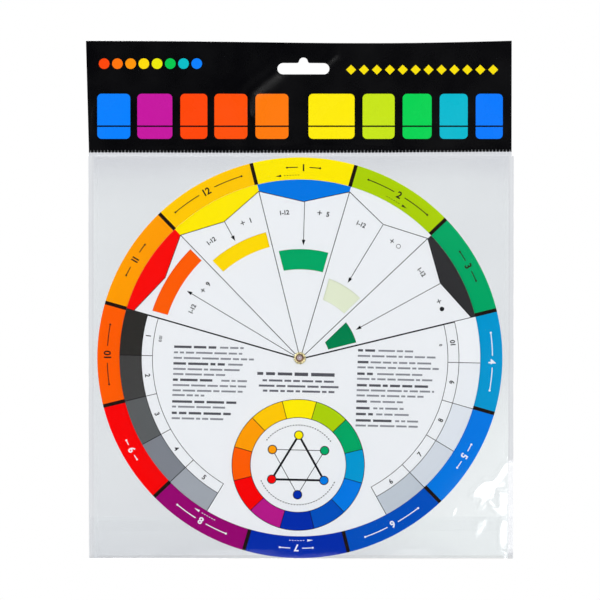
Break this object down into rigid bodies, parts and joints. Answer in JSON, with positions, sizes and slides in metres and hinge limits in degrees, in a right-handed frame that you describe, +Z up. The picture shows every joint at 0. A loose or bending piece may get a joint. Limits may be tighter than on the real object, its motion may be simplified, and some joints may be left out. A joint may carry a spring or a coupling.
{
  "type": "colour mixing wheel",
  "caption": "Printed board colour wheel with a windowed front dial and a rear dial turning on a brass eyelet, in a clear header bag with a hang slot and a flap.",
  "frame": {"origin": "peg notch at the top of the hang slot, midway between the header's two sheets", "axes": "+Z up the bag, from the flap to the header; -Y out of the front of the wheel; +X to the right seen from the front"},
  "size_m": [0.2477, 0.0042, 0.3036],
  "materials": {
    "header_print": "glossy black print on film",
    "header_print_back": "glossy black print on film",
    "crimped_film": "clear film crimped to black film",
    "clear_film": "clear gloss",
    "clear_film_back": "clear gloss",
    "welded_film": "clear film, welded",
    "flap_film": "clear gloss",
    "adhesive": "dull clear adhesive",
    "wheel_board": "printed in twelve hues, satin varnish",
    "eyelet_brass": "bright rolled brass",
    "dial_card": "white printed card, satin"
  },
  "bodies": {
    "bag": {"header_front": "header_print", "header_back": "header_print_back", "weld_band": "crimped_film", "front_film": "clear_film", "back_film": "clear_film_back", "left_weld": "welded_film", "right_weld": "welded_film"},
    "flap": {"flap_crease": "flap_film", "closing_flap": "flap_film", "adhesive_strip": "adhesive"},
    "wheel": {"base_disc": "wheel_board", "eyelet": "eyelet_brass"},
    "front_dial": {"front_dial": "dial_card"},
    "rear_dial": {"rear_dial": "dial_card"}
  },
  "joints": [
    {"name": "wheel_turn", "type": "hinge", "parent": "bag", "child": "wheel", "pos_m": [-0.00205, 0, -0.1758], "axis": [0, 1, 0], "continuous": true},
    {"name": "front_dial_turn", "type": "hinge", "parent": "wheel", "child": "front_dial", "pos_m": [-0.00205, 0, -0.1758], "axis": [0, 1, 0], "continuous": true},
    {"name": "rear_dial_turn", "type": "hinge", "parent": "wheel", "child": "rear_dial", "pos_m": [-0.00205, 0, -0.1758], "axis": [0, 1, 0], "continuous": true},
    {"name": "flap_open", "type": "hinge", "parent": "bag", "child": "flap", "pos_m": [-0.00135, -0.00074, -0.29375], "axis": [-1, 0, 0], "range_deg": [0, 170]}
  ]
}
